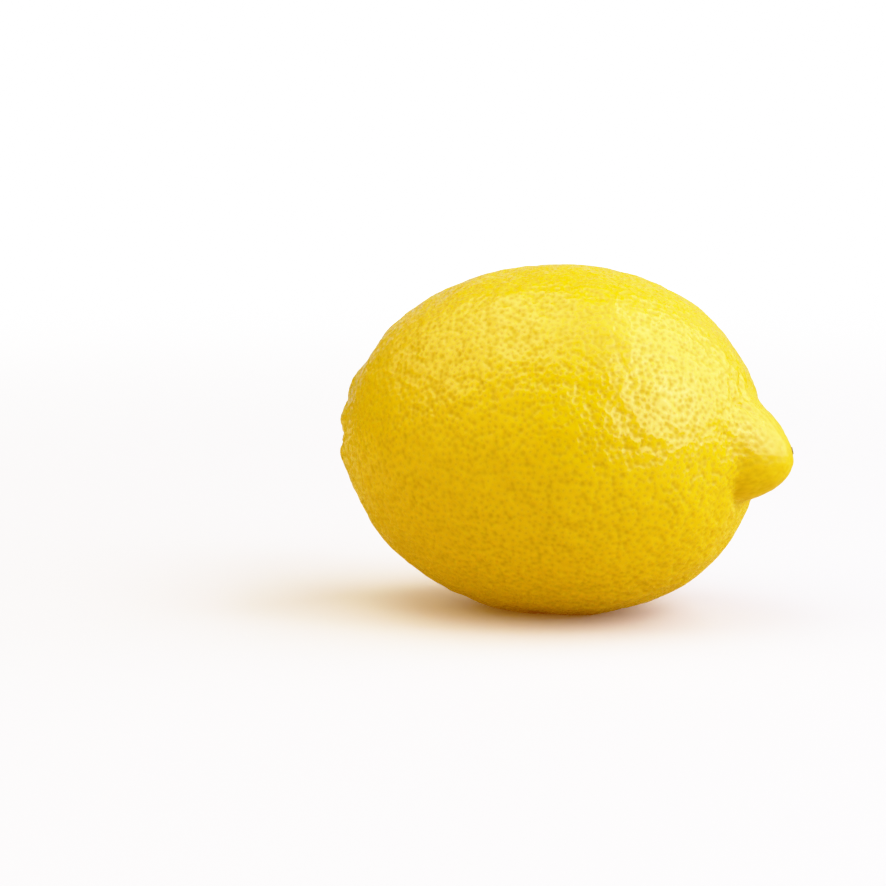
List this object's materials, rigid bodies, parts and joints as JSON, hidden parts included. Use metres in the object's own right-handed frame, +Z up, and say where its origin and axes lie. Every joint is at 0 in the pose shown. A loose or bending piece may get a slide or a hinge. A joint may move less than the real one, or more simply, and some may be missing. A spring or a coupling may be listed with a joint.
{
  "type": "lemon",
  "caption": "Whole ripe lemon lying on its side on a small flat spot, with a nipple at one end and a dried calyx button at the other.",
  "frame": {"origin": "on the surface that the lemon lies on, below the middle of its overall box", "axes": "+X along the fruit's long axis towards the nipple, +Z up as it lies"},
  "size_m": [0.0774, 0.0578, 0.0576],
  "materials": {
    "rind": "satin",
    "dried_calyx": "matte"
  },
  "bodies": {
    "root": {"fruit": "rind", "calyx_button": "dried_calyx"}
  },
  "joints": []
}
